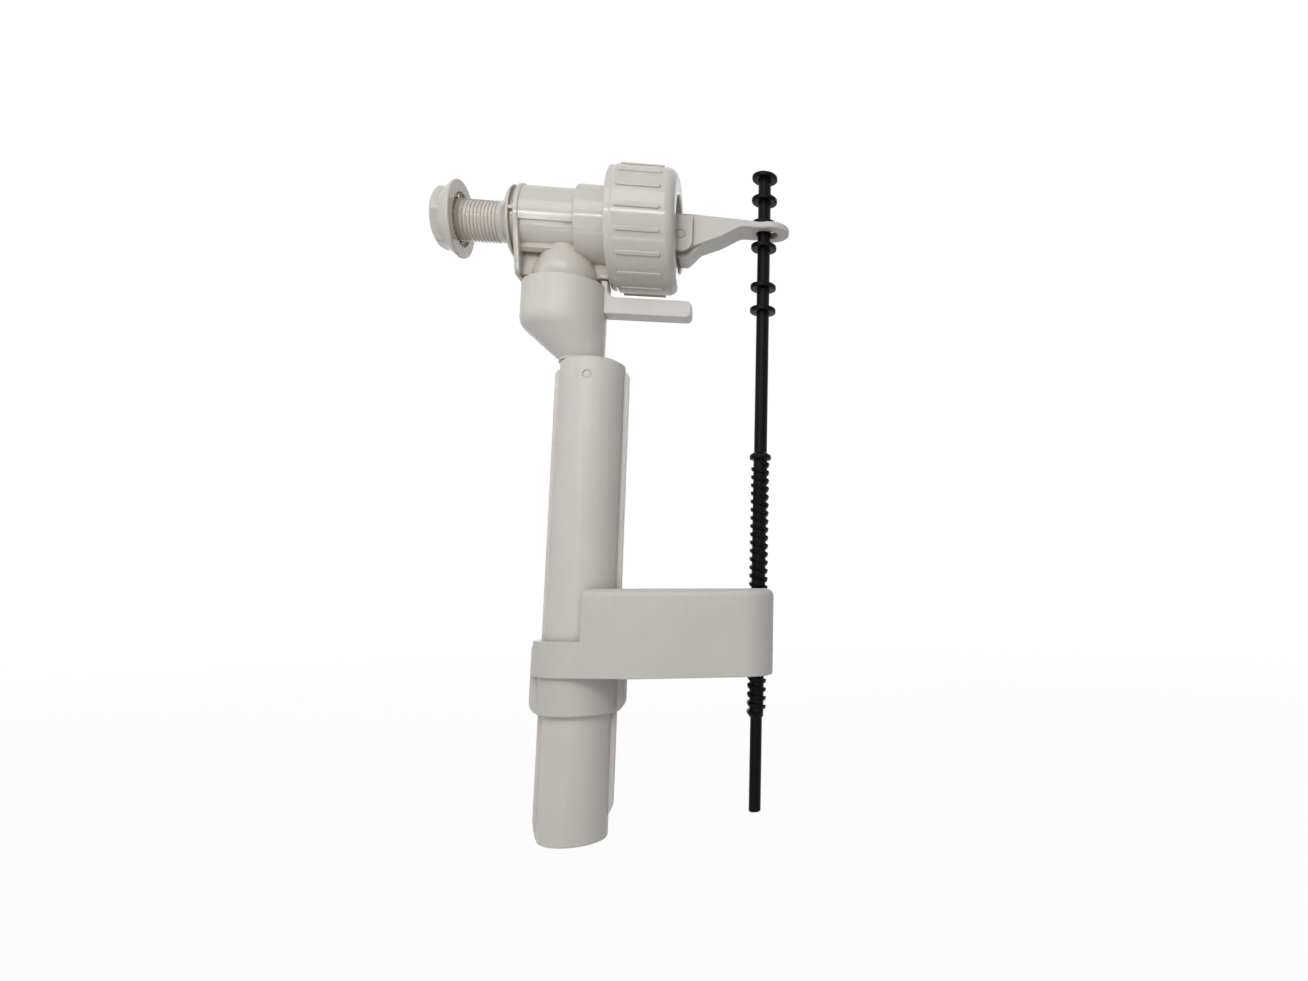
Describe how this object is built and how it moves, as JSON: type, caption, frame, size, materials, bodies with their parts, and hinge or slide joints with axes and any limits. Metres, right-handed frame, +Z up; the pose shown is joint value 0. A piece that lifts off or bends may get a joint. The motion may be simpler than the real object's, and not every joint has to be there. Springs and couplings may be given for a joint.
{
  "type": "toilet fill valve",
  "caption": "Side-inlet toilet fill valve with a threaded tail, cap nut, servo lever, drop tube and a float on a threaded rod.",
  "frame": {"origin": "where the inlet axis crosses the face of the flange that seats on the cistern wall", "axes": "+X along the inlet axis into the cistern, +Z up along the drop tube and the rod"},
  "size_m": [0.1395, 0.053, 0.2681],
  "materials": {
    "glossy_white": "glossy moulded plastic",
    "satin_white": "satin moulded plastic",
    "float_white": "satin moulded plastic",
    "grey_plastic": "moulded plastic",
    "green_plastic": "moulded plastic",
    "black_plastic": "moulded plastic",
    "black_rubber": "moulded rubber",
    "stainless_steel": "woven mesh and drawn pin"
  },
  "bodies": {
    "valve": {"valve_body": "glossy_white", "bonnet": "glossy_white", "lever_pin": "satin_white", "outlet_adaptor": "satin_white", "drop_tube": "satin_white", "diaphragm": "black_rubber", "adaptor_ring": "black_rubber", "restrictor_ring": "black_rubber", "diaphragm_insert": "grey_plastic", "filter_frame": "grey_plastic", "flow_restrictor": "green_plastic", "filter_mesh": "stainless_steel", "bleed_pin": "stainless_steel"},
    "rod": {"adjusting_rod": "black_plastic"},
    "float": {"float_shell": "float_white", "rod_clip": "float_white"},
    "lever_arm": {"lever": "satin_white", "pilot_seal": "black_rubber"},
    "clamp_nut": {"backnut": "glossy_white"},
    "cover_nut": {"cap_nut": "glossy_white"}
  },
  "joints": [
    {"name": "rod_rise", "type": "slide", "parent": "valve", "child": "rod", "axis": [0, 0, 1], "range_m": [0, 0.009]},
    {"name": "lever_swing", "type": "hinge", "parent": "valve", "child": "lever_arm", "pos_m": [0.0678, 0, -0.0035], "axis": [0, -1, 0], "range_deg": [0, 9]},
    {"name": "float_level", "type": "slide", "parent": "rod", "child": "float", "axis": [0, 0, 1], "range_m": [-0.025, 0.045]},
    {"name": "backnut_turn", "type": "hinge", "parent": "valve", "child": "clamp_nut", "pos_m": [0, 0, 0], "axis": [1, 0, 0], "continuous": true},
    {"name": "cap_nut_turn", "type": "hinge", "parent": "valve", "child": "cover_nut", "pos_m": [0, 0, 0], "axis": [1, 0, 0], "range_deg": [0, 720]}
  ],
  "couplings": [
    {"joint": "lever_swing", "follows": "rod_rise", "rad_per_m": 17.45}
  ]
}
